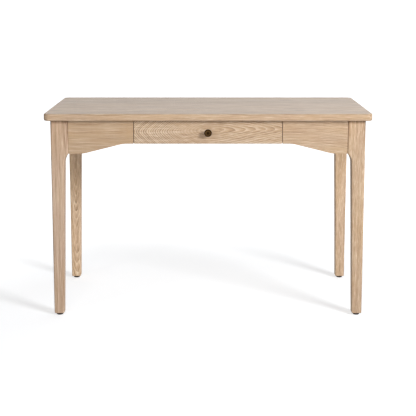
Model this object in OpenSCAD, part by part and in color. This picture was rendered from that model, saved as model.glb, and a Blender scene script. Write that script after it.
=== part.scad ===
// Writing desk with one drawer, in limed oak.
// Millimetres. +Z is up, the drawer faces -Y, and the origin is on the floor under the middle of the top.

/* [Overall] */
// Width of the top, left to right
desk_w = 1200; // [1100:10:1500]
// Depth of the top, front to back
desk_d = 600; // [570:10:750]
// Height of the top's upper face above the floor
desk_h = 765; // [730:5:790]

/* [Top] */
// Thickness of the top
top_t = 26; // [22:1:32]
// Radius of the top's corners in plan
top_corner_r = 20; // [8:1:40]
// How far the top stands out past the legs on every side
overhang = 22; // [15:1:35]

/* [Legs] */
// Side of the square block at the head of a leg
leg_w = 64; // [60:1:72]
// Side of the leg just below its shoulder
neck_w = 49; // [44:1:54]
// Side of the leg at the foot
foot_w = 37; // [34:1:42]
// Height of the hollow shoulder under a leg's block
shoulder_h = 37; // [24:1:45]
// Radius of the leg's outer corner
leg_edge_r = 4; // [3:0.5:9]
// Chamfer around the foot
foot_chamfer = 4; // [2:0.5:6]

/* [Aprons] */
// Thickness of the apron boards
apron_t = 20; // [18:1:24]
// Height of the front and back aprons beside the drawer
apron_mid_h = 87; // [85:1:96]
// Height of every apron where it meets a leg
apron_end_h = 124; // [116:1:136]
// How far the apron's face lies behind the leg's face
setback = 3; // [1:0.5:5]
// Length of the level stretch of the lower edge at a leg
end_flat = 55; // [30:1:60]
// Length of the sloping stretch on the front and back aprons
front_slope = 148; // [110:2:160]
// Length of the sloping stretch on the side aprons
side_slope = 110; // [60:5:120]
// Rise of the sloping stretch on the side aprons
side_rise = 30; // [15:1:36]
// Radius that blends the slopes into the level stretches
blend_r = 110; // [40:5:120]

/* [Drawer] */
// Width of the opening between the two front aprons
opening_w = 548; // [480:2:560]
// Gap around the drawer front
front_gap = 2; // [1.5:0.1:3]
// Thickness of the drawer front
front_t = 20; // [18:1:22]
// Thickness of the drawer box's sides, front and back
box_t = 12; // [10:1:14]
// Height of the drawer box
box_h = 51; // [46:1:54]
// Depth of the drawer box
box_d = 420; // [410:5:440]
// Thickness of the drawer's plywood bottom
bottom_t = 6; // [4:1:8]
// Thickness of one slide, runner face to drawer side
slide_t = 13; // [13:0.1:14]
// How far the drawer pulls out
travel = 340; // [200:10:340]

/* [Knob] */
// Radius of the knob's head
knob_r = 14; // [10:0.5:18]
// How far the knob stands out of the drawer front
knob_len = 24; // [20:0.5:24.5]

/* [Glides] */
// Radius of the round glide under each foot
glide_r = 12; // [8:0.5:13]
// Thickness of the glide
glide_h = 7; // [3:0.5:8]

/* [Hidden] */
$fn = 48;

oak = [0.78, 0.66, 0.54];
beech = [0.84, 0.74, 0.60];
ply = [0.86, 0.77, 0.63];
zinc = [0.72, 0.73, 0.74];
bronze = [0.25, 0.17, 0.08];
nylon = [0.07, 0.07, 0.07];

// Heights of the main levels
top_under = desk_h - top_t;
mid_under = top_under - apron_mid_h;
end_under = top_under - apron_end_h;

// Plan positions, as distances from the middle of the desk
leg_x = desk_w / 2 - overhang;
leg_y = desk_d / 2 - overhang;
head_x = leg_x - leg_w;
head_y = leg_y - leg_w;
apron_face_x = leg_x - setback;
apron_face_y = leg_y - setback;
apron_back_x = apron_face_x - apron_t;
apron_back_y = apron_face_y - apron_t;

// Mortise and tenon between aprons and legs
tenon_t = 10;
tenon_l = 22;
tenon_z = [640, 725];
mortise_l = tenon_l + 0.5;
tenon_in = setback + (apron_t - tenon_t) / 2;

// Corner blocks, measured from a leg's outer corner
block_near = 2 * leg_w + 6;
block_far = block_near + 36;
block_z = [680, 730];
block_mid_z = (block_z[0] + block_z[1]) / 2;
bolt_r = 4;
bolt_in_leg = 40;
bolt_end = 42;

// Wood screws
screw_r = 2;
pilot_r = screw_r + 0.05;
screw_head_r = 3.8;
screw_head_h = 2.4;
block_screw_at = block_near - apron_t - setback + 18;
block_screw_z = [block_mid_z - 14, block_mid_z + 14];

// Brackets under the top
bracket_w = 18;
bracket_leg = 25;
bracket_t = 2;
bracket_x = 380;
bracket_y = 90;

// Rails and runners around the drawer
runner_in = opening_w / 2 + 2;
runner_t = 22;
runner_low = mid_under + 4;
rail_d = 40;
rail_front = -apron_back_y + 2;
upper_rail_t = 18;
lower_rail_t = 12;
dowel_r = 4;
rail_dowel_r = 3;

// Drawer box
front_face = -apron_face_y;
front_back = front_face + front_t;
front_w = opening_w - 2 * front_gap;
front_h = apron_mid_h - front_gap;
box_x = runner_in - slide_t;
box_low = mid_under + lower_rail_t + 3;
box_top = box_low + box_h;
box_back = front_back + box_d;
groove = 6;
bottom_low = box_low + 6;
bottom_top = bottom_low + bottom_t;
slide_z = (box_low + box_top) / 2;
knob_z = mid_under + front_h / 2;
front_screw_x = 190;

// Ball-bearing slides. The section runs from the runner's face at 0 to the drawer's side at slide_t.
slide_start = front_back + 5;
slide_l = 400;
sheet = 1.2;
outer_half = 17.5;
middle_half = 11.9;
inner_half = 7.1;
outer_ball_r = 1.9;
inner_ball_r = 1.5;
outer_ball_u = 5.2;
outer_ball_z = 14.1;
inner_ball_u = 7.7;
inner_ball_z = 8.9;
cage_l = slide_l - travel / 2 - 50;
cage_start = slide_start + (slide_l - cage_l) / 2;
cage_sheet = 0.6;
ball_count = 8;
slide_screw_r = 1.8;
outer_screw_y = [10, 320, 380];
inner_screw_y = [20, 200, 380];

// Points of an arc about centre c, from angle a0 to a1
function arc(c, r, a0, a1, n = 6) =
    [for (i = [0:n]) let (a = a0 + (a1 - a0) * i / n) [c[0] + r * cos(a), c[1] + r * sin(a)]];

// Lower edge of an apron from the middle outwards: level, a blended slope down by rise, then level
function slope_edge(high, rise, run, end) =
    let (
        a = atan2(rise, run),
        back = blend_r * tan(a / 2),
        low = high - rise
    )
    concat(
        arc([end - end_flat - run - back, high - blend_r], blend_r, 90, 90 - a),
        arc([end - end_flat + back, low + blend_r], blend_r, 270 - a, 270)
    );

function mirrored(points) = [for (i = [len(points) - 1:-1:0]) [-points[i][0], points[i][1]]];

// Repeats its children at both sides, or at all four corners
module both_sides() {
    children();
    mirror([1, 0, 0]) children();
}

module four_corners() {
    both_sides() {
        children();
        mirror([0, 1, 0]) children();
    }
}

// Moves a shape drawn from a leg's outer corner, x and y inwards, to the back right corner
module at_corner() {
    translate([leg_x, leg_y, 0]) rotate(180) children();
}

// Plan of the top
module rounded_plan(w, d, r) {
    difference() {
        square([w, d], center = true);
        four_corners() translate([w / 2 - r, d / 2 - r]) difference() {
            square(2 * r);
            circle(r);
        }
    }
}

// One L bracket with its corner at the origin: one leg lies against x = 0, the other under z = 0
module bracket() {
    difference() {
        translate([0, -bracket_w / 2, -bracket_leg]) cube([bracket_leg, bracket_w, bracket_leg]);
        translate([bracket_t, -bracket_w, -2 * bracket_leg])
            cube([2 * bracket_leg, 2 * bracket_w, 2 * bracket_leg - bracket_t]);
        bracket_screw_places() cylinder(h = 3 * bracket_t, r = screw_r + 0.2, center = true);
    }
}

// The two screw places of a bracket, each with +Z pointing into the wood
module bracket_screw_places() {
    translate([0, 0, -15]) rotate([0, -90, 0]) children();
    translate([15, 0, 0]) children();
}

// Every place that has a bracket
module bracket_places() {
    for (x = [-bracket_x, bracket_x]) {
        translate([x, -apron_back_y, top_under]) rotate(90) children();
        translate([x, apron_back_y, top_under]) rotate(-90) children();
    }
    for (y = [-bracket_y, bracket_y]) {
        translate([-apron_back_x, y, top_under]) children();
        translate([apron_back_x, y, top_under]) rotate(180) children();
    }
}

// A pan-head wood screw of length l. Its head sits on z = 0 and its shank points along +Z.
module screw(l, r = screw_r) {
    translate([0, 0, -screw_head_h]) difference() {
        union() {
            cylinder(h = screw_head_h * 0.6, r1 = screw_head_r * 0.7, r2 = screw_head_r, $fn = 24);
            translate([0, 0, screw_head_h * 0.6])
                cylinder(h = screw_head_h * 0.4, r = screw_head_r, $fn = 24);
        }
        for (a = [0, 90]) rotate(a) translate([-2.2, -0.4, -0.1]) cube([4.4, 0.8, 1.3]);
    }
    cylinder(h = l - 3, r = r, $fn = 24);
    translate([0, 0, l - 3]) cylinder(h = 3, r1 = r, r2 = 0.4, $fn = 24);
}

// The hole that a screw needs in the wood it holds on to
module pilot(l, r = pilot_r) {
    translate([0, 0, -0.01]) cylinder(h = l + 0.3, r = r, $fn = 24);
}

module desk_top() {
    color(oak) difference() {
        translate([0, 0, top_under]) linear_extrude(top_t) rounded_plan(desk_w, desk_d, top_corner_r);
        bracket_places() translate([15, 0, 0]) translate([0, 0, -bracket_t]) pilot(16);
    }
}

// Side outline of a leg: across from its outer face, and up. The shoulder is one hollow arc.
function leg_outline() =
    let (
        inset = leg_w - neck_w,
        r = (inset * inset + shoulder_h * shoulder_h) / (2 * inset)
    )
    concat(
        [
            [foot_chamfer, glide_h], [foot_w - foot_chamfer, glide_h],
            [foot_w, glide_h + foot_chamfer]
        ],
        arc([neck_w + r, end_under - shoulder_h], r, 180, 180 - asin(shoulder_h / r)),
        [[leg_w, top_under], [0, top_under], [0, glide_h + foot_chamfer]]
    );

// A leg drawn from its outer corner, with its mortises, its bolt hole and the hole for its glide's nail
module leg() {
    color(oak) difference() {
        intersection() {
            rotate([90, 0, 90]) linear_extrude(leg_w) polygon(leg_outline());
            translate([0, leg_w, 0]) rotate([90, 0, 0]) linear_extrude(leg_w) polygon(leg_outline());
            linear_extrude(top_under) {
                translate([leg_edge_r, 0]) square([leg_w, leg_w]);
                translate([0, leg_edge_r]) square([leg_w, leg_w]);
                translate([leg_edge_r, leg_edge_r]) circle(leg_edge_r);
            }
        }
        translate([tenon_in, leg_w - mortise_l, tenon_z[0]])
            cube([tenon_t, mortise_l + 1, tenon_z[1] - tenon_z[0]]);
        translate([leg_w - mortise_l, tenon_in, tenon_z[0]])
            cube([mortise_l + 1, tenon_t, tenon_z[1] - tenon_z[0]]);
        corner_axis(-bolt_in_leg) cylinder(h = bolt_in_leg + 2, r = bolt_r + 0.05, $fn = 32);
        translate([foot_w / 2, foot_w / 2, glide_h - 0.01]) cylinder(h = 18, r = 1.55, $fn = 24);
    }
}

// The diagonal through a leg's inner corner. Its +Z points to the middle of the desk, and t is how far
// past the corner it starts.
module corner_axis(t) {
    translate([leg_w, leg_w, block_mid_z]) rotate([90, 0, 135]) translate([0, 0, t]) children();
}

module leg_back_right() { at_corner() leg(); }
module leg_back_left() { mirror([1, 0, 0]) leg_back_right(); }
module leg_front_right() { mirror([0, 1, 0]) leg_back_right(); }
module leg_front_left() { mirror([1, 0, 0]) leg_front_right(); }

// A board standing on edge: its outline is across and up, and it lies between y = 0 and y = t
module upright(points, t) {
    translate([0, t, 0]) rotate([90, 0, 0]) linear_extrude(t) polygon(points);
}

// The tenon on the end of an apron that reaches across to x = end
module tenon(end) {
    translate([end - 1, (apron_t - tenon_t) / 2, tenon_z[0]])
        cube([tenon_l + 1, tenon_t, tenon_z[1] - tenon_z[0]]);
}

// Holes for the corner block screws near a leg, on a board whose inner face is y = apron_t
module block_screw_holes(end) {
    for (z = block_screw_z)
        translate([end - (block_screw_at - leg_w), apron_t, z]) rotate([90, 0, 0]) pilot(14);
}

// Hole for the screw of a bracket in the middle of x, on the same kind of board
module bracket_hole(x) {
    translate([x, apron_t, top_under - 15]) rotate([90, 0, 0]) translate([0, 0, -bracket_t]) pilot(16);
}

module front_apron_right() {
    edge = slope_edge(mid_under, apron_end_h - apron_mid_h, front_slope, head_x);
    color(oak) translate([0, -apron_face_y, 0]) difference() {
        union() {
            upright(concat(
                [[opening_w / 2, mid_under]], edge,
                [[head_x, end_under], [head_x, top_under], [opening_w / 2, top_under]]
            ), apron_t);
            tenon(head_x);
        }
        block_screw_holes(head_x);
        bracket_hole(bracket_x);
        for (z = runner_dowel_z)
            translate([runner_in + runner_t / 2, apron_t + 0.01, z]) rotate([90, 0, 0])
                cylinder(h = 12.5, r = dowel_r + 0.05, $fn = 24);
    }
}
module front_apron_left() { mirror([1, 0, 0]) front_apron_right(); }

// A board that runs from leg to leg, arched in the middle
module long_apron(high, rise, run, end, holes) {
    edge = slope_edge(high, rise, run, end);
    difference() {
        union() {
            upright(concat(
                [[-end, high - rise]], mirrored(edge), edge,
                [[end, high - rise], [end, top_under], [-end, top_under]]
            ), apron_t);
            both_sides() tenon(end);
        }
        both_sides() block_screw_holes(end);
        both_sides() bracket_hole(holes);
    }
}

module back_apron() {
    color(oak) difference() {
        translate([0, apron_face_y, 0]) mirror([0, 1, 0])
            long_apron(mid_under, apron_end_h - apron_mid_h, front_slope, head_x, bracket_x);
        for (x = [-1, 1], z = runner_dowel_z)
            translate([x * (runner_in + runner_t / 2), apron_back_y - 0.01, z]) rotate([-90, 0, 0])
                cylinder(h = 12.5, r = dowel_r + 0.05, $fn = 24);
    }
}

module side_apron_right() {
    color(oak) translate([apron_face_x, 0, 0]) rotate(90)
        long_apron(end_under + side_rise, side_rise, side_slope, head_y, bracket_y);
}
module side_apron_left() { mirror([1, 0, 0]) side_apron_right(); }

// Runners front to back beside the drawer, and two laths across between them
runner_dowel_z = [runner_low + 20, top_under - 18];

module drawer_runner_right() {
    color(beech) difference() {
        translate([runner_in, -apron_back_y, runner_low])
            cube([runner_t, 2 * apron_back_y, top_under - runner_low]);
        for (s = [-1, 1], z = runner_dowel_z)
            translate([runner_in + runner_t / 2, s * (apron_back_y + 0.01), z]) rotate([s * 90, 0, 0])
                cylinder(h = 12.5, r = dowel_r + 0.05, $fn = 24);
        rail_dowel_places() translate([0, 0, -0.01]) cylinder(h = 14.5, r = rail_dowel_r + 0.05, $fn = 24);
        for (y = outer_screw_y)
            translate([runner_in, slide_start + y, slide_z]) rotate([0, 90, 0])
                pilot(13, slide_screw_r + 0.05);
    }
}
module drawer_runner_left() { mirror([1, 0, 0]) drawer_runner_right(); }

// Where the laths meet the right-hand runner, with +Z pointing into the runner
module rail_dowel_places() {
    for (z = [top_under - upper_rail_t / 2, mid_under + 1 + lower_rail_t / 2])
        translate([runner_in, rail_front + rail_d / 2, z]) rotate([0, 90, 0]) children();
}

module drawer_rail(low, t) {
    difference() {
        translate([-runner_in, rail_front, low]) cube([2 * runner_in, rail_d, t]);
        both_sides() rail_dowel_places() translate([0, 0, -14.5])
            cylinder(h = 14.6, r = rail_dowel_r + 0.05, $fn = 24);
    }
}
module drawer_rail_upper() { color(beech) drawer_rail(top_under - upper_rail_t, upper_rail_t); }
module drawer_rail_lower() { color(beech) drawer_rail(mid_under + 1, lower_rail_t); }

module frame_dowels() {
    color(beech) both_sides() {
        for (s = [-1, 1], z = runner_dowel_z)
            translate([runner_in + runner_t / 2, s * apron_back_y, z]) rotate([90, 0, 0])
                cylinder(h = 24, r = dowel_r, center = true, $fn = 24);
        rail_dowel_places() cylinder(h = 28, r = rail_dowel_r, center = true, $fn = 24);
    }
}

// Diagonal blocks that brace the corners. Each is bolted to its leg and screwed to two aprons.
module corner_block() {
    inner = setback + apron_t;
    difference() {
        translate([0, 0, block_z[0]]) linear_extrude(block_z[1] - block_z[0]) polygon([
            [block_near - inner, inner], [block_far - inner, inner],
            [inner, block_far - inner], [inner, block_near - inner]
        ]);
        corner_axis(0) cylinder(h = 60, r = bolt_r + 0.5, $fn = 32);
        block_screw_axes() {
            translate([0, 0, -60]) cylinder(h = 61, r = screw_r + 0.3, $fn = 24);
            translate([0, 0, -60]) cylinder(h = 60 - 10, r = screw_head_r + 0.6, $fn = 24);
        }
    }
}

// Axes of one corner block's screws, with +Z pointing into the apron and z = 0 on the apron's inner face
module block_screw_axes() {
    inner = setback + apron_t;
    for (z = block_screw_z) {
        translate([block_screw_at, inner, z]) rotate([90, 0, 0]) children();
        translate([inner, block_screw_at, z]) rotate([0, -90, 0]) children();
    }
}

module corner_blocks() { color(beech) four_corners() at_corner() corner_block(); }

module corner_bolts() {
    color(zinc) four_corners() at_corner() corner_axis(-bolt_in_leg)
        cylinder(h = bolt_in_leg + bolt_end, r = bolt_r, $fn = 32);
}

// Distance past the leg's inner corner at which the corner block's inner face lies
block_face_t = (block_far - 2 * leg_w) / sqrt(2);

module corner_washers() {
    color(zinc) four_corners() at_corner() corner_axis(block_face_t) difference() {
        cylinder(h = 1.6, r = 9);
        translate([0, 0, -1]) cylinder(h = 4, r = bolt_r + 0.3, $fn = 32);
    }
}

module corner_nuts() {
    color(zinc) four_corners() at_corner() corner_axis(block_face_t + 1.6) difference() {
        cylinder(h = 6.5, r = 7.5, $fn = 6);
        translate([0, 0, -1]) cylinder(h = 9, r = bolt_r + 0.05, $fn = 32);
    }
}

module corner_block_screws() {
    color(zinc) four_corners() at_corner() block_screw_axes() translate([0, 0, -10]) screw(24);
}

module top_brackets() { color(zinc) bracket_places() bracket(); }

module top_bracket_screws() {
    color(zinc) bracket_places() bracket_screw_places() translate([0, 0, -bracket_t]) screw(16);
}

module foot_glides() {
    color(nylon) four_corners() at_corner() translate([foot_w / 2, foot_w / 2, 0]) difference() {
        union() {
            cylinder(h = 1.2, r1 = glide_r - 1.2, r2 = glide_r);
            translate([0, 0, 1.2]) cylinder(h = glide_h - 1.2, r = glide_r);
        }
        translate([0, 0, glide_h - 2]) cylinder(h = 4, r = 1.55, $fn = 24);
    }
}

module glide_nails() {
    color(zinc) four_corners() at_corner() translate([foot_w / 2, foot_w / 2, glide_h - 2])
        cylinder(h = 19.5, r = 1.5, $fn = 24);
}

// Slide sections, in the plane across the slide: first the distance from the runner's face, then up.
// A channel with its web at u0 and lips reaching to u1
module channel(u0, u1, half, t) {
    difference() {
        translate([min(u0, u1), -half]) square([abs(u1 - u0), 2 * half]);
        translate([u0 < u1 ? u0 + t : u1 - 1, -half + t]) square([abs(u1 - u0) - t + 1, 2 * (half - t)]);
    }
}

// Places a slide section on the right-hand side of the drawer and runs it along the slide
module slide_run(start, l) {
    translate([runner_in, start + l, slide_z])
        rotate([90, 0, 0]) linear_extrude(l) mirror([1, 0]) children();
}

// Places on a right-hand slide, with +Z pointing away from the drawer
module slide_places(ys, u) {
    for (y = ys) translate([runner_in - u, slide_start + y, slide_z]) rotate([0, 90, 0]) children();
}

module slide_outer_right() {
    color(zinc) difference() {
        slide_run(slide_start, slide_l) {
            channel(0, 9.5, outer_half, sheet);
            for (s = [-1, 1]) translate([9.5 - sheet, s * (outer_half - 1.4) - 1.4]) square([sheet, 2.8]);
        }
        slide_places(outer_screw_y, 2 * sheet) cylinder(h = 3 * sheet, r = slide_screw_r + 0.3, $fn = 24);
    }
}
module slide_outer_left() { mirror([1, 0, 0]) slide_outer_right(); }

module slide_middle_right() {
    color(zinc) slide_run(slide_start, slide_l) {
        channel(3, 10.5, middle_half, sheet);
        for (s = [-1, 1]) translate([10.5 - sheet, s * (middle_half - 1.1) - 1.1]) square([sheet, 2.2]);
    }
}
module slide_middle_left() { mirror([1, 0, 0]) slide_middle_right(); }

module slide_inner_right() {
    color(zinc) difference() {
        slide_run(slide_start, slide_l) channel(slide_t, 6.5, inner_half, sheet);
        slide_places(inner_screw_y, slide_t + sheet)
            cylinder(h = 3 * sheet, r = slide_screw_r + 0.3, $fn = 24);
    }
}
module slide_inner_left() { mirror([1, 0, 0]) slide_inner_right(); }

// Centres of one stage's balls: u across, at +z and -z, evenly along the cage
module ball_places(u, z) {
    for (i = [0:ball_count - 1], s = [-1, 1])
        translate([
            runner_in - u,
            cage_start + cage_l * (i + 0.5) / ball_count,
            slide_z + s * z
        ]) children();
}

module ball_cage(u0, u1, z, u_ball, r) {
    difference() {
        slide_run(cage_start, cage_l) channel(u0, u1, z + cage_sheet / 2, cage_sheet);
        ball_places(u_ball, z) cylinder(h = 3, r = r + 0.15, center = true, $fn = 20);
    }
}

module outer_ball_cage_right() { color(zinc) ball_cage(1.8, 7.8, outer_ball_z, outer_ball_u, outer_ball_r); }
module outer_ball_cage_left() { mirror([1, 0, 0]) outer_ball_cage_right(); }
module outer_balls_right() {
    color(zinc) ball_places(outer_ball_u, outer_ball_z) sphere(outer_ball_r, $fn = 20);
}
module outer_balls_left() { mirror([1, 0, 0]) outer_balls_right(); }
module inner_ball_cage_right() { color(zinc) ball_cage(4.9, 10, inner_ball_z, inner_ball_u, inner_ball_r); }
module inner_ball_cage_left() { mirror([1, 0, 0]) inner_ball_cage_right(); }
module inner_balls_right() {
    color(zinc) ball_places(inner_ball_u, inner_ball_z) sphere(inner_ball_r, $fn = 20);
}
module inner_balls_left() { mirror([1, 0, 0]) inner_balls_right(); }

// Flat screws of the slides. Their thin heads stay clear of the moving members.
module slide_screw(l) {
    difference() {
        translate([0, 0, -1.2]) cylinder(h = 1.2, r = 3.2, $fn = 24);
        for (a = [0, 90]) rotate(a) translate([-1.8, -0.35, -1.3]) cube([3.6, 0.7, 0.8]);
    }
    cylinder(h = l, r = slide_screw_r, $fn = 24);
}

module slide_outer_screws() {
    color(zinc) both_sides() slide_places(outer_screw_y, sheet) slide_screw(13);
}

module slide_inner_screws() {
    color(zinc) both_sides() slide_places(inner_screw_y, slide_t - sheet) mirror([0, 0, 1]) slide_screw(9);
}

module drawer_front() {
    color(oak) difference() {
        translate([-front_w / 2, front_face, mid_under]) cube([front_w, front_t, front_h]);
        translate([0, front_face - 1, knob_z]) rotate([-90, 0, 0])
            cylinder(h = front_t + 2, r = 2.3, $fn = 24);
        front_screw_places() pilot(14.5);
    }
}

// Screws through the box's front into the drawer front, with +Z pointing forwards from the joint
module front_screw_places() {
    for (x = [-front_screw_x, front_screw_x], z = [slide_z - 8, slide_z + 14])
        translate([x, front_back, z]) rotate([90, 0, 0]) children();
}

// Dovetails: n tails across the height from low to high, wide at y = 0 and narrow at y = box_t
module tails(low, high, n) {
    pitch = (high - low) / n;
    for (i = [0:n - 1]) {
        c = low + pitch * (i + 0.5);
        polygon([
            [0, c - 0.38 * pitch], [box_t, c - 0.27 * pitch],
            [box_t, c + 0.27 * pitch], [0, c + 0.38 * pitch]
        ]);
    }
}

// The same tails as solids in the right-hand side of the box, at its front or its back
module front_tails() {
    translate([box_x - box_t, front_back, 0]) rotate([90, 0, 90]) linear_extrude(box_t)
        tails(box_low, box_top, 3);
}
module back_tails() {
    translate([box_x - box_t, box_back, 0]) mirror([0, 1, 0]) rotate([90, 0, 90]) linear_extrude(box_t)
        tails(bottom_top, box_top, 2);
}

module drawer_bottom_solid(grow = 0) {
    translate([-box_x + box_t - groove - grow, front_back + box_t - groove - grow, bottom_low - grow])
        cube([
            2 * (box_x - box_t + groove + grow),
            box_d - box_t + groove + 2 * grow,
            bottom_t + 2 * grow
        ]);
}

module drawer_side_right() {
    color(beech) difference() {
        union() {
            translate([box_x - box_t, front_back + box_t, box_low]) cube([box_t, box_d - 2 * box_t, box_h]);
            translate([box_x - box_t, box_back - box_t, box_low]) cube([box_t, box_t, bottom_top - box_low]);
            front_tails();
            back_tails();
        }
        drawer_bottom_solid(0.1);
        slide_places(inner_screw_y, slide_t) mirror([0, 0, 1]) pilot(8, slide_screw_r + 0.05);
    }
}
module drawer_side_left() { mirror([1, 0, 0]) drawer_side_right(); }

module drawer_box_front() {
    color(beech) difference() {
        translate([-box_x, front_back, box_low]) cube([2 * box_x, box_t, box_h]);
        both_sides() front_tails();
        drawer_bottom_solid(0.1);
        front_screw_places() translate([0, 0, -box_t - 1])
            cylinder(h = box_t + 2, r = screw_r + 0.3, $fn = 24);
        translate([0, front_back - 1, knob_z]) rotate([-90, 0, 0])
            cylinder(h = box_t + 2, r = 2.3, $fn = 24);
    }
}

module drawer_box_back() {
    color(beech) difference() {
        translate([-box_x, box_back - box_t, bottom_top]) cube([2 * box_x, box_t, box_top - bottom_top]);
        both_sides() back_tails();
        drawer_bottom_solid(0.1);
        bottom_screw_places() pilot(18, 1.55);
    }
}

// Small screws up through the bottom into the box's back
module bottom_screw_places() {
    for (x = [-170, 0, 170]) translate([x, box_back - box_t / 2, bottom_low]) children();
}

module drawer_bottom() {
    color(ply) difference() {
        drawer_bottom_solid();
        bottom_screw_places() translate([0, 0, -1]) cylinder(h = bottom_t + 2, r = 1.8, $fn = 24);
    }
}

module drawer_bottom_screws() {
    color(zinc) bottom_screw_places() {
        translate([0, 0, -1.2]) cylinder(h = 1.2, r = 3, $fn = 24);
        cylinder(h = 18, r = 1.5, $fn = 24);
    }
}

module drawer_front_screws() {
    color(zinc) front_screw_places() translate([0, 0, -box_t]) screw(box_t + 13);
}

// Half section of the turned knob: radius, then distance from the drawer front
function knob_section() = concat(
    [[0, 0], [8.2, 0], [8.2, 1.4]],
    [[6.6, 2.6], [5.6, 5], [5.4, 8], [6.2, 11], [8.4, 13.2]],
    [[knob_r - 1.6, knob_len - 8.4]],
    arc([knob_r - 3.4, knob_len - 4], 3.4, -35, 90, 6),
    [[knob_r - 4.2, knob_len], [knob_r - 5.2, knob_len - 1.2], [0, knob_len - 1.6]]
);

module drawer_knob() {
    color(bronze) translate([0, front_face, knob_z]) rotate([90, 0, 0]) difference() {
        rotate_extrude() polygon(knob_section());
        translate([0, 0, -1]) cylinder(h = 15, r = 2.05, $fn = 24);
    }
}

// Machine screw from inside the box, through both fronts, into the knob
module knob_bolt() {
    color(zinc) translate([0, front_back + box_t, knob_z]) rotate([90, 0, 0]) {
        difference() {
            translate([0, 0, -2.6]) cylinder(h = 2.6, r = 4);
            for (a = [0, 90]) rotate(a) translate([-2.2, -0.4, -2.7]) cube([4.4, 0.8, 1.4]);
        }
        cylinder(h = front_t + box_t + 12, r = 2, $fn = 24);
    }
}

desk_top();
leg_front_left();
leg_front_right();
leg_back_left();
leg_back_right();
front_apron_left();
front_apron_right();
side_apron_left();
side_apron_right();
back_apron();
drawer_rail_upper();
drawer_rail_lower();
drawer_runner_left();
drawer_runner_right();
frame_dowels();
corner_blocks();
corner_bolts();
corner_washers();
corner_nuts();
corner_block_screws();
top_brackets();
top_bracket_screws();
foot_glides();
glide_nails();
slide_outer_left();
slide_outer_right();
slide_outer_screws();
slide_middle_left();
slide_middle_right();
outer_ball_cage_left();
outer_ball_cage_right();
outer_balls_left();
outer_balls_right();
inner_ball_cage_left();
inner_ball_cage_right();
inner_balls_left();
inner_balls_right();
slide_inner_left();
slide_inner_right();
slide_inner_screws();
drawer_front();
drawer_box_front();
drawer_side_left();
drawer_side_right();
drawer_box_back();
drawer_bottom();
drawer_front_screws();
drawer_bottom_screws();
drawer_knob();
knob_bolt();
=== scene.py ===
# Writing desk with one drawer, in limed oak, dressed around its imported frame. Metres throughout.
import math

import bmesh
import bpy
from mathutils import Matrix, Vector


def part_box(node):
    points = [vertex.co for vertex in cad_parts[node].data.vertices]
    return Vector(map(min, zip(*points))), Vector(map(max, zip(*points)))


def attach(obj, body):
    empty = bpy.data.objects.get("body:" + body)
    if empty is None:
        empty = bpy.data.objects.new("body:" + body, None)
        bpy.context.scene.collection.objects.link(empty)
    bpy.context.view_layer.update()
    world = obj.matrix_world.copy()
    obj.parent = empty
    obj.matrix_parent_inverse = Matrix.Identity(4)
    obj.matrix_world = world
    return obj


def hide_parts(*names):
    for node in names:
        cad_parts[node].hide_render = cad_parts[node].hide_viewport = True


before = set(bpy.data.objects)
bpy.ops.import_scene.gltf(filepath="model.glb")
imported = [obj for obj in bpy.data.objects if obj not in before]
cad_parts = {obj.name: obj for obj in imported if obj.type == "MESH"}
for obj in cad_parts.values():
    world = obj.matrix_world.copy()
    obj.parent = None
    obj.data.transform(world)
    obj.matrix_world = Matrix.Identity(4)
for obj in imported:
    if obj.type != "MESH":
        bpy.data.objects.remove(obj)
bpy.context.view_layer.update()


# ---- Camera ----
# A long lens stands square to the drawer, a little above the top, so that the legs stay almost upright.
lens = bpy.data.cameras.new("view")
lens.lens = 90.99
lens.shift_y = -0.13
camera = bpy.data.objects.new("view", lens)
bpy.context.scene.collection.objects.link(camera)
camera.location = (0.0, -4.095, 1.2138)
camera.rotation_euler = (math.radians(90 - 8.915), 0.0, 0.0)
bpy.context.scene.camera = camera
bpy.context.scene.view_settings.view_transform = "Standard"


# ---- Studio ----
# A white floor runs under and far behind the desk. A strong soft box stands high in front of it on the
# right, a slightly warm one fills in near the camera, and a weak one lifts the left side.
DESK_MIDDLE = Vector((0.0, 0.0, 0.6))
SWEEP_REACH = 60.0
WHITE = (1.0, 1.0, 1.0, 1.0)
BLACK = (0.0, 0.0, 0.0, 1.0)


def soft_box(name, place, size, power, tint=(1.0, 1.0, 1.0)):
    """A round area light at place that faces the desk."""
    light = bpy.data.lights.new(name, "AREA")
    light.shape = "DISK"
    light.size = size
    light.energy = power
    light.color = tint
    box = bpy.data.objects.new(name, light)
    bpy.context.scene.collection.objects.link(box)
    box.location = place
    box.visible_glossy = False
    box.rotation_euler = (DESK_MIDDLE - Vector(place)).to_track_quat("-Z", "Y").to_euler()


soft_box("soft_box_right", (3.15, -3.45, 2.5), 1.6, 194.0)
soft_box("soft_box_front", (-0.7, -4.8, 1.9), 1.8, 49.0, tint=(1.0, 0.96, 0.91))
soft_box("soft_box_left", (-3.0, -3.5, 1.9), 1.2, 16.0)


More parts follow.
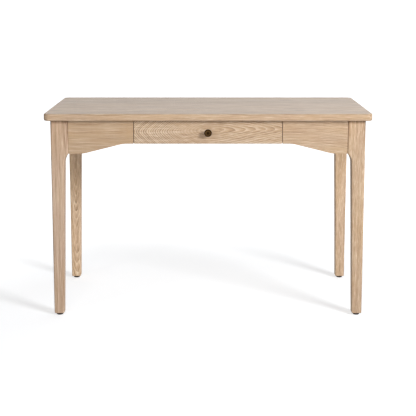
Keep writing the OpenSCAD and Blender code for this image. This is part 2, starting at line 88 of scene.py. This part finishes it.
class Value:
    """A shader socket in a Python expression: each operator adds the Math node that it stands for."""

    def __init__(self, tree, socket=None):
        self.tree = tree
        self.socket = socket

    def node(self, kind, sockets=None, out=0, **settings):
        """Adds any node: its settings first, then the numbers, colours or Values of its sockets."""
        made = self.tree.nodes.new(kind)
        for name, setting in settings.items():
            setattr(made, name, setting)
        for key, value in (sockets or {}).items():
            if isinstance(value, Value):
                self.tree.links.new(value.socket, made.inputs[key])
            else:
                made.inputs[key].default_value = value
        return Value(self.tree, made.outputs[out])

    def other(self, out):
        """Another output of the node that this one comes from."""
        return Value(self.tree, self.socket.node.outputs[out])

    def math(self, operation, first, second=0.0):
        return self.node("ShaderNodeMath", {0: first, 1: second}, operation=operation)

    def __add__(self, other):
        return self.math("ADD", self, other)

    def __sub__(self, other):
        return self.math("SUBTRACT", self, other)

    def __rsub__(self, other):
        return self.math("SUBTRACT", other, self)

    def __mul__(self, other):
        return self.math("MULTIPLY", self, other)

    def __truediv__(self, other):
        return self.math("DIVIDE", self, other)

    def __pow__(self, other):
        return self.math("POWER", self, other)

    __radd__ = __add__
    __rmul__ = __mul__

    def between(self, low, high):
        """0 below low, 1 above high, and smooth from one to the other."""
        return self.node(
            "ShaderNodeMapRange",
            {"Value": self, "From Min": low, "From Max": high},
            interpolation_type="SMOOTHSTEP",
        )

    def mixed(self, first, second):
        """The colour first where this is 0, and second where it is 1."""
        return self.node(
            "ShaderNodeMix", {0: self, 6: first, 7: second}, out=2, data_type="RGBA", clamp_factor=True
        )

    def noise(self, vector, scale=1.0, detail=2.0, roughness=0.5):
        return self.node(
            "ShaderNodeTexNoise",
            {"Vector": vector, "Scale": scale, "Detail": detail, "Roughness": roughness},
        )

    def noise_along(self, place, scale, detail):
        """Noise of one number, such as a ring's own strength."""
        return self.node(
            "ShaderNodeTexNoise", {"W": place, "Scale": scale, "Detail": detail}, noise_dimensions="1D"
        )

    def vector(self, x, y, z):
        return self.node("ShaderNodeCombineXYZ", {0: x, 1: y, 2: z})


def colour(red, green, blue):
    """A colour given as a painter's swatch, 0 to 255, as the linear colour that a shader takes."""
    parts = []
    for part in (red, green, blue):
        part /= 255
        parts.append(part / 12.92 if part <= 0.04045 else ((part + 0.055) / 1.055) ** 2.4)
    return (*parts, 1.0)


def new_material(name):
    """An empty Principled material, its shader node, and a Value to start its expressions from."""
    material = bpy.data.materials.new(name)
    material.use_nodes = True
    return material, material.node_tree.nodes["Principled BSDF"], Value(material.node_tree)


def plug(shader, socket, value):
    """Feeds a varying value or colour into one of the shader's sockets."""
    value.tree.links.new(value.socket, shader.inputs[socket])


# The room glows low down behind the desk, more to the right, and is dim elsewhere. It is plain white
# wherever the camera looks straight at it.
room = bpy.data.worlds.new("room")
room.use_nodes = True
bpy.context.scene.world = room
tree = room.node_tree
air = Value(tree)
looking = air.node("ShaderNodeSeparateXYZ", {0: air.node("ShaderNodeTexCoord", out="Generated")})
behind = looking.other("Y").between(0.2, 0.9) * (1.0 - looking.other("Z").between(0.35, 0.75))
straight = air.node("ShaderNodeLightPath", out="Is Camera Ray")
glow = air.math("MAXIMUM", behind * (looking.other("X") * 1.3 + 1.88) + 0.10, straight)
tree.links.new(glow.socket, tree.nodes["Background"].inputs["Strength"])
tree.nodes["Background"].inputs["Color"].default_value = WHITE

# The floor is a matt, faintly cool white. Where the camera sees it, it also glows a little by itself,
# less so near the desk, so that it fades to a clean white while the shadows of the legs stay.
floor_board, shader, start = new_material("sweep_board")
place = start.node("ShaderNodeTexCoord", out="Object")
mottle = start.noise(place, scale=2.0, detail=3.0)
plug(shader, "Base Color", mottle.mixed(colour(213, 216, 220), colour(217, 220, 224)))
shader.inputs["Roughness"].default_value = 0.9
shader.inputs["Specular IOR Level"].default_value = 0.0
straight = start.node("ShaderNodeLightPath", out="Is Camera Ray")
reach = start.node(
    "ShaderNodeVectorMath", {0: place, 1: (0.0, -0.35, 0.0)}, out="Value", operation="DISTANCE"
)
white = straight * (reach.between(0.75, 2.0) * 0.46 + 0.54)
plug(shader, "Emission Color", white.mixed(BLACK, WHITE))
shader.inputs["Emission Strength"].default_value = 1.0


def new_object(name, shape, material):
    """Makes a mesh object from a bmesh that already lies in its place."""
    mesh = bpy.data.meshes.new(name)
    shape.to_mesh(mesh)
    shape.free()
    mesh.materials.append(material)
    piece = bpy.data.objects.new(name, mesh)
    bpy.context.scene.collection.objects.link(piece)
    return piece


sweep = bmesh.new()
bmesh.ops.create_grid(sweep, x_segments=1, y_segments=1, size=SWEEP_REACH)
new_object("sweep", sweep, floor_board)


# ---- Desk top ----
# Five oak staves glued edge to edge and planed to 26 mm. The corners are rounded in plan, and the
# arrises are eased, the lower one more. Lime paste sits in the pores under a thin matt lacquer, which
# is rubbed a little smoother on the top.
TOP_CORNER = 0.020
TOP_ARRIS = 0.0032
LOWER_ARRIS = 0.0050
STAVE = 0.12
SAME = 1e-6  # points nearer than this lie in the same place

# The axis along a board, and the two across it, by the axis of its grain.
AXES = {"X": ("X", "Y", "Z"), "Y": ("Y", "X", "Z"), "Z": ("Z", "X", "Y")}


def oak(name, node, grain, heart, tilt=0.0, flare=(0.0, 0.0), seed=0.0, **look):
    """Limed oak for a board cut from a log.

    grain is the axis along the board. heart is where the log's centre lies from the board's centre,
    over the two other axes, and tilt leans it in the second of them. The rings are shells around that
    line, so the figure runs on from a face to its edges and ends. flare is how fast the shells close
    towards the low and the high end of the board, which draws nested flames on its face.

    seed gives the board a chance pattern of its own. Its look can differ in these, lengths in metres:
    ring is a year's growth, late the share of a year before its dark wood begins, and wander how far
    the rings stray. run is how many streaks follow each other in a metre, and stave the width of the
    staves that a wide board is glued from. figure is the strength of the rings, and fade the range of a
    slow noise over which they come and go; calm quietens them from one place along the board to
    another, and its last number is their strength after that. shade is a factor on
    every colour: mostly the board's own tone, but on the back legs it is painted light, which lifts
    them against the shade that the frame casts on them, and on the left apron it is partly painted shade.
    warm, pink, dark, pale and pore replace a swatch, and gloss is the strength of the highlight.
    """
    ring = look.get("ring", 0.0030)
    run = look.get("run", 30.0)
    fade = look.get("fade", (0.30, 0.62))
    figure = look.get("figure", 1.0)
    shade = look.get("shade", 1.0)
    wander = look.get("wander", 0.004)
    stave = look.get("stave")
    material, shader, start = new_material(name)
    low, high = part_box(node)
    place = start.node("ShaderNodeTexCoord", out="Object")
    local = start.node(
        "ShaderNodeVectorMath", {0: place, 1: tuple((low + high) / 2)}, operation="SUBTRACT"
    )
    parts = start.node("ShaderNodeSeparateXYZ", {0: local})
    along, across, deep = (parts.other(axis) for axis in AXES[grain])
    chance = 0.5
    if stave:
        number = start.math("FLOOR", across / stave + 0.5)
        chance = start.node("ShaderNodeTexWhiteNoise", {"W": number + seed}, noise_dimensions="1D")
        across = across - number * stave
        along = along + chance * 3.0 - 1.5
    moved = along + seed
    slow = start.noise(start.vector(moved * 3.0, across * 10.0, deep * 10.0), detail=1.0)
    quick = start.noise(start.vector(moved * 20.0, across * 60.0, deep * 60.0 + 7.0), detail=2.0)
    bend = (slow - 0.5) * (wander * 2.5) + (quick - 0.5) * wander
    side = across - heart[0] + bend
    rise = deep - heart[1] - along * tilt + bend
    if stave:
        side = side + (chance - 0.5) * 0.09
    radius = (side * side + rise * rise) ** 0.5
    if any(flare):
        closing = along.between(-0.04, 0.04) * (flare[1] - flare[0]) + flare[0]
        radius = radius + ((along * along + 0.004) ** 0.5 - 0.063) * closing
    year = radius / ring
    strength = start.noise_along(year, 0.61, detail=1.0).between(0.3, 0.7)
    phase = start.math("FRACT", year)
    early = (1.0 - phase).between(0.40, 1.0)
    late = phase.between(look.get("late", 0.50), 0.98)
    clear = start.noise(start.vector(moved * 9.0, across * 22.0, deep * 22.0)).between(*fade)
    if "calm" in look:
        calm_from, calm_to, after = look["calm"]
        fades = along.between(calm_from - 0.03, calm_from + 0.03) * 0.8
        clear = clear * (1.0 - fades + along.between(calm_to - 0.03, calm_to + 0.04) * (after - 0.2))

    vessel = start.noise(
        start.vector(moved * run, across * 400.0, deep * 400.0), detail=3.0, roughness=0.65
    )
    streak = start.noise(start.vector(moved * 4.0, across * 120.0, deep * 120.0), detail=3.0)
    blotch = start.noise(start.vector(moved * 3.0, across * 14.0, deep * 14.0), detail=2.0)
    pore = start.noise(
        start.vector(moved * 45.0, across * 1300.0, deep * 1300.0), detail=1.0
    ).between(0.55, 0.70)
    open_pore = pore * (early * 0.7 + 0.3)

    def swatch(name, red, green, blue):
        return colour(*[part * shade for part in look.get(name, (red, green, blue))])

    body = blotch.between(0.3, 0.7).mixed(swatch("warm", 194, 162, 128), swatch("pink", 192, 162, 135))
    shadowed = late * strength * (clear * (0.55 * figure) + 0.15) + vessel.between(0.50, 0.76) * 0.85
    brown = (shadowed + streak.between(0.50, 0.72) * 0.35).mixed(body, swatch("dark", 148, 116, 88))
    lime = early * (1.0 - strength * 0.5) * (clear * (0.36 * figure) + 0.10)
    lime = lime + vessel.between(0.50, 0.25) * 0.80
    limed = (lime + streak.between(0.50, 0.28) * 0.25).mixed(brown, swatch("pale", 230, 210, 184))
    finished = (open_pore * 0.35).mixed(limed, swatch("pore", 232, 216, 196))
    if stave:
        finished = start.node(
            "ShaderNodeVectorMath", {0: finished, "Scale": chance * 0.06 + 0.97}, operation="SCALE"
        )
    plug(shader, "Base Color", finished)
    plug(shader, "Roughness", 0.46 + open_pore * 0.25 + vessel * 0.08)
    relief = 0.5 - open_pore * 0.6 - shadowed * 0.2 + early * 0.1
    bump = start.node("ShaderNodeBump", {"Height": relief, "Distance": 0.0002, "Strength": 0.5})
    plug(shader, "Normal", bump)
    shader.inputs["IOR"].default_value = 1.5
    shader.inputs["Specular IOR Level"].default_value = look.get("gloss", 0.5)
    return material


def eased(shape, width, segments, chosen):
    """Rounds over the chosen edges of a shape."""
    bmesh.ops.bevel(
        shape,
        geom=[edge for edge in shape.edges if chosen(edge)],
        offset=width,
        offset_type="OFFSET",
        affect="EDGES",
        segments=segments,
        profile=0.5,
        material=-1,
    )


def polished(piece, body, slot, *nodes):
    """Smooths a wooden piece between its flats and puts it in place of its CAD nodes."""
    for face in piece.data.polygons:
        face.use_smooth = True
    weighted = piece.modifiers.new("flats", "WEIGHTED_NORMAL")
    weighted.mode = "FACE_AREA"
    weighted.weight = 80
    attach(piece, body)
    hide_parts(*nodes)


def block(low, high):
    """A bmesh box between two corners."""
    shape = bmesh.new()
    bmesh.ops.create_cube(shape, size=1.0)
    bmesh.ops.scale(shape, vec=high - low, verts=shape.verts)
    bmesh.ops.translate(shape, vec=(low + high) / 2, verts=shape.verts)
    return shape


def upright_edge(edge):
    run = edge.verts[1].co - edge.verts[0].co
    return abs(run.z) > 0.99 * run.length


top_low, top_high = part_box("desk_top")
top = block(top_low, top_high)
eased(top, TOP_CORNER, 14, upright_edge)
for rim, arris in ((top_low.z, LOWER_ARRIS), (top_high.z, TOP_ARRIS)):
    eased(top, arris, 4, lambda edge: all(abs(vert.co.z - rim) < SAME for vert in edge.verts))
top_oak = oak(
    "top_oak", "desk_top", "X", heart=(0.02, -0.075), tilt=0.01, seed=3.0, stave=STAVE, run=14.0
)
top_lacquer = top_oak.node_tree.nodes["Principled BSDF"].inputs
top_lacquer["Coat Weight"].default_value = 0.06
top_lacquer["Coat Roughness"].default_value = 0.30
polished(new_object("top_board", top, top_oak), "frame", "limed_oak", "desk_top")


# ---- Legs ----
# Each leg is sawn from one square of oak. It keeps its full block where the aprons are tenoned in,
# then a hollow shoulder on both inner faces brings it down to a slim, straight taper.
NECK = 0.049
FOOT = 0.037
FOOT_EASE = 0.004
LEG_ARRIS = 0.004
OUTER_ARRIS = 0.006
SHOULDER = 0.037
SHOULDER_STEPS = 9


def leg(corner, side_x, side_y, head, foot_z, shoulder_z, head_z):
    """A leg that grows up from its foot; corner is its outer corner, and its sides run inwards."""
    inset = head - NECK
    hollow = (inset * inset + SHOULDER * SHOULDER) / (2 * inset)
    stations = [(shoulder_z - SHOULDER, NECK)]
    for step in range(1, SHOULDER_STEPS + 1):
        angle = math.asin(SHOULDER / hollow) * step / SHOULDER_STEPS
        stations.append(
            (shoulder_z - SHOULDER + hollow * math.sin(angle), NECK + hollow * (1 - math.cos(angle)))
        )
    stations.append((head_z, head))
    shape = bmesh.new()
    outer = Matrix.Translation((-corner.x, -corner.y, 0.0))
    bmesh.ops.create_grid(shape, x_segments=1, y_segments=1, size=FOOT / 2)
    middle = Vector((corner.x + side_x * FOOT / 2, corner.y + side_y * FOOT / 2, foot_z))
    bmesh.ops.translate(shape, vec=middle, verts=shape.verts)
    cap = shape.faces[:]
    size, level = FOOT, foot_z
    for number, (height, side) in enumerate(stations):
        grown = bmesh.ops.extrude_face_region(shape, geom=cap)["geom"]
        # The first cap is the sole of the foot; the later ones would be left inside the leg.
        if number:
            bmesh.ops.delete(shape, geom=cap, context="FACES_ONLY")
        corners = [part for part in grown if isinstance(part, bmesh.types.BMVert)]
        bmesh.ops.translate(shape, vec=(0.0, 0.0, height - level), verts=corners)
        bmesh.ops.scale(shape, vec=(side / size, side / size, 1.0), space=outer, verts=corners)
        cap = [part for part in grown if isinstance(part, bmesh.types.BMFace)]
        size, level = side, height
    bmesh.ops.recalc_face_normals(shape, faces=shape.faces)

    def outermost(edge):
        return all((vert.co.xy - corner.xy).length < SAME for vert in edge.verts)

    rising = [edge for edge in shape.edges if abs((edge.verts[1].co - edge.verts[0].co).z) > 1e-5]
    eased(shape, LEG_ARRIS, 4, lambda edge: edge in rising and not outermost(edge))
    eased(shape, OUTER_ARRIS, 5, outermost)
    eased(shape, FOOT_EASE, 3, lambda edge: all(abs(v.co.z - foot_z) < SAME for v in edge.verts))
    return shape


LEG_LOGS = {
    "leg_front_left": dict(
        heart=(0.090, 0.050), tilt=0.02, seed=11.0, run=12.0, warm=(194, 163, 133), pink=(193, 163, 142)
    ),
    "leg_front_right": dict(heart=(-0.120, 0.030), tilt=0.01, seed=23.0, shade=0.985),
    # The back legs' colour factors above 1 are painted light: they lift these legs against the shade that
    # the aprons and the front of the frame cast on them.
    "leg_back_left": dict(
        heart=(-0.0075, -0.030), tilt=0.06, seed=31.0, figure=1.5, wander=0.002, shade=1.12
    ),
    "leg_back_right": dict(heart=(-0.070, 0.060), tilt=0.02, seed=47.0, shade=1.05),
}
shoulder_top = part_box("side_apron_left")[0].z
for node, log in LEG_LOGS.items():
    low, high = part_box(node)
    side_x = 1 if low.x < 0 else -1
    side_y = 1 if low.y < 0 else -1
    corner = Vector((low.x if side_x > 0 else high.x, low.y if side_y > 0 else high.y, 0.0))
    shape = leg(corner, side_x, side_y, high.x - low.x, low.z, shoulder_top, high.z)
    piece = new_object("oak_" + node, shape, oak(node + "_oak", node, "Z", gloss=0.25, **log))
    polished(piece, "frame", "limed_oak", node)


# ---- Aprons ----
# 20 mm oak boards on edge, tenoned into the legs 3 mm behind their faces. Their lower edge drops from
# the middle to the legs in one straight slope with soft blends, and is eased so it's kind to knees.
APRON_EASE = 0.0012
JOINT_EASE = 0.0018
END_FLAT = 0.055
FRONT_SLOPE = 0.148
SIDE_SLOPE = 0.110
SIDE_RISE = 0.030
BLEND = 0.110
BLEND_STEPS = 6
apron_top = top_low.z
head_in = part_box("leg_front_right")[0].x
head_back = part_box("leg_back_right")[0].y
mid_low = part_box("drawer_front")[0].z
end_low = shoulder_top


def slope_edge(high, rise, run, end):
    """The lower edge from the middle outwards: level, blended slope down by rise, then level."""
    angle = math.atan2(rise, run)
    back = BLEND * math.tan(angle / 2)
    points = []
    for step in range(BLEND_STEPS + 1):
        turn = angle * step / BLEND_STEPS
        start_x = end - END_FLAT - run - back
        points.append((start_x + BLEND * math.sin(turn), high - BLEND * (1 - math.cos(turn))))
    for step in range(BLEND_STEPS + 1):
        turn = angle * (1 - step / BLEND_STEPS)
        end_x = end - END_FLAT + back
        points.append((end_x - BLEND * math.sin(turn), high - rise + BLEND * (1 - math.cos(turn))))
    return points


def whole_outline(half, end):
    """The outline of an apron from leg to leg; half is its lower edge from the middle outwards."""
    outline = [(-end, end_low), *[(-across, up) for across, up in reversed(half)]]
    return [*outline, *half, (end, end_low), (end, apron_top), (-end, apron_top)]


def at_joint(edge, face, axis):
    """Whether an edge is an upright arris of the face where the board meets a leg."""
    along, across = (0, 1) if axis == "X" else (1, 0)
    end = head_in if axis == "X" else head_back
    return upright_edge(edge) and all(
        abs(vert.co[across] - face) < SAME and abs(abs(vert.co[along]) - end) < SAME
        for vert in edge.verts
    )


def board(outline, face, thickness, axis="X"):
    """A board on edge from its outline along an axis and up; its shown face lies at face."""
    shape = bmesh.new()
    if axis == "X":
        corners = [shape.verts.new((across, face, up)) for across, up in outline]
        depth = Vector((0.0, thickness, 0.0))
    else:
        corners = [shape.verts.new((face, across, up)) for across, up in outline]
        depth = Vector((thickness, 0.0, 0.0))
    front = shape.faces.new(corners)
    grown = bmesh.ops.extrude_face_region(shape, geom=[front], use_keep_orig=True)["geom"]
    moved = [part for part in grown if isinstance(part, bmesh.types.BMVert)]
    bmesh.ops.translate(shape, vec=depth, verts=moved)
    bmesh.ops.recalc_face_normals(shape, faces=shape.faces)
    eased(shape, JOINT_EASE, 2, lambda edge: at_joint(edge, face, axis))
    eased(shape, APRON_EASE, 3, lambda edge: edge.calc_face_angle(0.0) > 1.0)
    return shape


APRON_LOGS = {
    # The left apron's lower colour factor and its yellower swatches are partly its own tone and partly
    # painted shade, for the dimmer, warmer light on the desk's left side.
    "left": dict(
        heart=(0.10, 0.30), tilt=0.01, seed=5.0, wander=0.002, shade=0.96, run=9.0,
        warm=(196, 160, 120), pink=(192, 161, 130),
    ),
    "right": dict(
        heart=(0.01, -0.09), tilt=-0.10, flare=(0.1, 0.1), seed=17.0, wander=0.006, figure=1.5, run=16.0,
        shade=0.98,
    ),
}
for side, log in APRON_LOGS.items():
    node = "front_apron_" + side
    low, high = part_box(node)
    inner = min(abs(low.x), abs(high.x))
    half = slope_edge(mid_low, mid_low - end_low, FRONT_SLOPE, head_in)
    outline = [(inner, mid_low), *half, (head_in, end_low), (head_in, apron_top), (inner, apron_top)]
    if side == "left":
        outline = [(-across, up) for across, up in outline]
    shape = board(outline, low.y, high.y - low.y)
    piece = new_object("front_panel_" + side, shape, oak(node + "_oak", node, "X", **log))
    polished(piece, "frame", "limed_oak", node)

back_low, back_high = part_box("back_apron")
half = slope_edge(mid_low, mid_low - end_low, FRONT_SLOPE, head_in)
outline = whole_outline(half, head_in)
back_oak = oak("back_apron_oak", "back_apron", "X", heart=(-0.04, -0.02), flare=(0.12, 0.08), seed=29.0)
piece = new_object("back_panel", board(outline, back_low.y, back_high.y - back_low.y), back_oak)
polished(piece, "frame", "limed_oak", "back_apron")

half = slope_edge(end_low + SIDE_RISE, SIDE_RISE, SIDE_SLOPE, head_back)
outline = whole_outline(half, head_back)
for side, seed in (("left", 37.0), ("right", 41.0)):
    node = "side_apron_" + side
    low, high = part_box(node)
    side_oak = oak(node + "_oak", node, "Y", heart=(0.09, -0.03), tilt=0.03, seed=seed)
    piece = new_object("side_panel_" + side, board(outline, low.x, high.x - low.x, "Y"), side_oak)
    polished(piece, "frame", "limed_oak", node)


# ---- Drawer front ----
# One flat-sawn oak board with a long closed flame figure, set flush between the aprons with a 2 mm gap.
FRONT_ARRIS = 0.0015
front_low, front_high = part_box("drawer_front")
front = block(front_low, front_high)
eased(front, FRONT_ARRIS, 3, lambda edge: True)
front_oak = oak(
    "drawer_front_oak", "drawer_front", "X", heart=(-0.002, 0.007), flare=(0.80, 0.20), tilt=0.02,
    ring=0.0068, seed=2.0, wander=0.005, figure=2.1, late=0.50, fade=(0.10, 0.40),
    calm=(-0.13, 0.03, 0.6), shade=0.97, pink=(193, 162, 132), pale=(238, 220, 196),
)
polished(new_object("drawer_face", front, front_oak), "drawer", "limed_oak", "drawer_front")


# ---- Knob ----
# A turned brass knob in a dark oil-rubbed bronze finish: a small foot, a waist, and a round head with
# a rolled rim and a shallow dish. The bronze is lighter in a ring between the middle and the rim of the
# head, and has fine lighter specks.
RIM_R = 0.0034
RIM_STEPS = 6
knob_low, knob_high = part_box("drawer_knob")
KNOB_R = (knob_high.x - knob_low.x) / 2
KNOB_L = knob_high.y - knob_low.y
knob_middle = Vector(((knob_low.x + knob_high.x) / 2, knob_high.y, (knob_low.z + knob_high.z) / 2))
bronze, shader, start = new_material("oil_rubbed_bronze")
place = start.node("ShaderNodeTexCoord", out="Object")
cloud = start.noise(place, scale=160.0, detail=4.0, roughness=0.6)
fine = start.noise(place, scale=900.0, detail=2.0)
parts = start.node(
    "ShaderNodeSeparateXYZ",
    {0: start.node("ShaderNodeVectorMath", {0: place, 1: tuple(knob_middle)}, operation="SUBTRACT")},
)
out_from_axis = (parts.other("X") ** 2.0 + parts.other("Z") ** 2.0) ** 0.5 / KNOB_R
# The head is lighter in a ring between its middle and its rim.
head_ring = out_from_axis.between(0.25, 0.50) * (1.0 - out_from_axis.between(0.62, 0.90))
patina = cloud.between(0.35, 0.7).mixed(colour(46, 30, 14), colour(66, 46, 25))
ringed_bronze = (head_ring * 0.7 + fine.between(0.55, 0.8) * 0.2).mixed(patina, colour(114, 86, 52))
plug(shader, "Base Color", ringed_bronze)
plug(shader, "Roughness", 0.34 + cloud * 0.18)
bump = start.node("ShaderNodeBump", {"Height": fine, "Distance": 0.00008, "Strength": 0.4})
plug(shader, "Normal", bump)
shader.inputs["Metallic"].default_value = 0.6
shader.inputs["Specular Tint"].default_value = colour(150, 110, 70)


def knob_profile():
    """Half section of the knob, from its axis at the back to its axis at the front."""
    points = [(0.0, 0.0), (0.0082, 0.0), (0.0082, 0.0014), (0.0066, 0.0026), (0.0056, 0.005)]
    points += [(0.0054, 0.008), (0.0062, 0.011), (0.0084, 0.0132), (KNOB_R - 0.0016, KNOB_L - 0.0084)]
    for step in range(RIM_STEPS + 1):
        turn = math.radians(-35 + 125 * step / RIM_STEPS)
        points.append((KNOB_R - RIM_R + RIM_R * math.cos(turn), KNOB_L - 0.004 + RIM_R * math.sin(turn)))
    points += [(KNOB_R - 0.0042, KNOB_L), (KNOB_R - 0.0052, KNOB_L - 0.0012), (0.0, KNOB_L - 0.0016)]
    return points


def turned(profile, centre, steps):
    """Spins a half section about -Y from centre."""
    shape = bmesh.new()
    verts = [shape.verts.new((centre.x + r, centre.y - out, centre.z)) for r, out in profile]
    edges = [shape.edges.new(pair) for pair in zip(verts, verts[1:])]
    bmesh.ops.spin(
        shape, geom=[*verts, *edges], cent=centre, axis=(0.0, 1.0, 0.0), angle=2 * math.pi,
        steps=steps, use_merge=True, use_normal_flip=False,
    )
    bmesh.ops.remove_doubles(shape, verts=shape.verts, dist=SAME)
    bmesh.ops.recalc_face_normals(shape, faces=shape.faces)
    return shape


knob = new_object("pull_knob", turned(knob_profile(), knob_middle, 64), bronze)
for face in knob.data.polygons:
    face.use_smooth = True
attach(knob, "drawer")
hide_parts("drawer_knob")


# ---- Rails and runners ----
# Beech rails, planed square, close the frame above and below the drawer, and two beech runners go
# front to back beside it to carry the slides. All are glued and dowelled, and left unfinished.
PLANED_ARRIS = 0.0006


def beech(name, grain, seed):
    """Plain beech: even, pinkish straw, with long faint streaks and short brown flecks of ray."""
    material, shader, start = new_material(name)
    place = start.node("ShaderNodeTexCoord", out="Object")
    parts = start.node("ShaderNodeSeparateXYZ", {0: place})
    along, across, deep = (parts.other(axis) for axis in AXES[grain])
    moved = along + seed
    streak = start.noise(start.vector(moved * 6.0, across * 110.0, deep * 110.0), detail=3.0)
    band = start.noise(start.vector(moved * 2.0, across * 26.0, deep * 26.0), detail=2.0)
    fleck = start.noise(start.vector(moved * 230.0, across * 900.0, deep * 900.0)).between(0.60, 0.72)
    straw = band.between(0.3, 0.7).mixed(colour(227, 198, 160), colour(214, 180, 141))
    streaked = (streak.between(0.45, 0.72) * 0.5).mixed(straw, colour(192, 154, 115))
    plug(shader, "Base Color", (fleck * 0.45).mixed(streaked, colour(168, 124, 88)))
    plug(shader, "Roughness", 0.58 + fleck * 0.12 - streak * 0.05)
    relief = streak * 0.6 - fleck * 0.4
    bump = start.node("ShaderNodeBump", {"Height": relief, "Distance": 0.0001, "Strength": 0.4})
    plug(shader, "Normal", bump)
    return material


def dress(node, material):
    """Gives a CAD node its material."""
    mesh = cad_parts[node].data
    mesh.materials.clear()
    mesh.materials.append(material)


def planed(node, material, ease=PLANED_ARRIS):
    """A square-edged board as it comes from the plane, with its arrises just broken."""
    dress(node, material)
    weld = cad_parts[node].modifiers.new("weld", "WELD")
    weld.merge_threshold = 0.00001
    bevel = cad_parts[node].modifiers.new("arris", "BEVEL")
    bevel.width = ease
    bevel.segments = 2
    bevel.limit_method = "ANGLE"
    bevel.angle_limit = math.radians(50)
    bevel.harden_normals = True


def beech_boards(boards, seed, step):
    """Planes each node of boards, a dict to its grain axis, out of a beech board of its own."""
    for count, (node, grain) in enumerate(boards.items()):
        planed(node, beech(node + "_beech", grain, seed + count * step))


beech_boards({
    "drawer_rail_upper": "X", "drawer_rail_lower": "X",
    "drawer_runner_left": "Y", "drawer_runner_right": "Y",
}, seed=0.0, step=2.7)


# ---- Corner joints ----
# Beech corner blocks are screwed across each corner and pulled tight to the leg with a bolt, washer
# and nut. Fluted dowels hold the rails. None of this shows with the desk on its feet.
planed("corner_blocks", beech("corner_block_beech", "X", seed=13.0))
dress("frame_dowels", beech("dowel_beech", "Y", seed=19.0))


def steel(name, dark, bright, smooth, rough):
    """Bright steel, a little cloudy, with fine scuffs."""
    material, shader, start = new_material(name)
    place = start.node("ShaderNodeTexCoord", out="Object")
    cloud = start.noise(place, scale=70.0, detail=3.0)
    scuff = start.noise(place, scale=900.0, detail=2.0)
    plug(shader, "Base Color", cloud.between(0.3, 0.7).mixed(colour(*dark), colour(*bright)))
    plug(shader, "Roughness", cloud * (rough - smooth) + smooth + scuff * 0.06)
    bump = start.node("ShaderNodeBump", {"Height": scuff, "Distance": 0.00003, "Strength": 0.3})
    plug(shader, "Normal", bump)
    shader.inputs["Metallic"].default_value = 1.0
    return material


zinc = steel("zinc_plate", (172, 176, 180), (202, 205, 207), 0.26, 0.46)
for node in ("corner_bolts", "corner_washers", "corner_nuts", "corner_block_screws"):
    dress(node, zinc)


# ---- Top fixings ----
# Folded zinc-plated angle brackets, slotted so that the top can move with the seasons, are screwed up
# into the top and sideways into the aprons.
dress("top_brackets", zinc)
dress("top_bracket_screws", zinc)


# ---- Foot glides ----
# Black moulded nylon glides, nailed up into the end grain of each leg, lift the oak off the floor.
GLIDE_ARRIS = 0.0008
nylon, shader, start = new_material("black_nylon")
place = start.node("ShaderNodeTexCoord", out="Object")
grit = start.noise(place, scale=700.0, detail=2.0)
scrape = start.noise(place, scale=120.0, detail=3.0, roughness=0.7)
plug(shader, "Base Color", scrape.between(0.4, 0.7).mixed(colour(24, 23, 23), colour(44, 42, 40)))
plug(shader, "Roughness", 0.42 + scrape * 0.25)
bump = start.node("ShaderNodeBump", {"Height": grit, "Distance": 0.00008, "Strength": 0.5})
plug(shader, "Normal", bump)
planed("foot_glides", nylon, ease=GLIDE_ARRIS)
dress("glide_nails", zinc)


# ---- Drawer slides ----
# Full ball-bearing slides, roll-formed from zinc-plated strip. Each has an outer member screwed to its
# runner, a middle member, and an inner member screwed to the drawer, with caged balls in between.
ball_steel = steel("ball_steel", (196, 198, 200), (216, 217, 218), 0.10, 0.18)
for side in ("left", "right"):
    for member in ("slide_outer_", "slide_middle_", "slide_inner_", "outer_ball_cage_", "inner_ball_cage_"):
        dress(member + side, zinc)
    for ring_of_balls in ("outer_balls_", "inner_balls_"):
        dress(ring_of_balls + side, ball_steel)
dress("slide_outer_screws", zinc)
dress("slide_inner_screws", zinc)


# ---- Drawer box ----
# A plain box of 12 mm beech, rebated and glued at its corners, with a birch plywood bottom let into
# grooves. The drawer front is screwed on from inside.
beech_boards({
    "drawer_box_front": "X", "drawer_box_back": "X",
    "drawer_side_left": "Y", "drawer_side_right": "Y",
}, seed=40.0, step=3.3)

plywood, shader, start = new_material("birch_plywood")
bottom_low, bottom_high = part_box("drawer_bottom")
place = start.node("ShaderNodeTexCoord", out="Object")
parts = start.node("ShaderNodeSeparateXYZ", {0: place})
along, across, up = (parts.other(axis) for axis in "XYZ")
ply = start.math("FRACT", (up - bottom_low.z) / (bottom_high.z - bottom_low.z) * 1.5)
glued = ply.between(0.62, 0.70)
wave = start.noise(start.vector(along * 2.0, across * 7.0, 0.0), detail=2.0)
contour = start.math("SINE", (across * 60.0 + wave * 16.0) * 3.0) * 0.5 + 0.5
fibre = start.noise(start.vector(along * 7.0, across * 260.0, up * 260.0), detail=3.0)
face_veneer = (contour * 0.25).mixed(colour(232, 208, 170), colour(214, 182, 140))
fibrous = (fibre.between(0.48, 0.75) * 0.4).mixed(face_veneer, colour(200, 164, 122))
plug(shader, "Base Color", glued.mixed(fibrous, colour(178, 140, 102)))
plug(shader, "Roughness", 0.48 + fibre * 0.15)
bump = start.node("ShaderNodeBump", {"Height": fibre, "Distance": 0.00008, "Strength": 0.3})
plug(shader, "Normal", bump)
dress("drawer_bottom", plywood)
dress("drawer_front_screws", zinc)
dress("drawer_bottom_screws", zinc)
dress("knob_bolt", zinc)
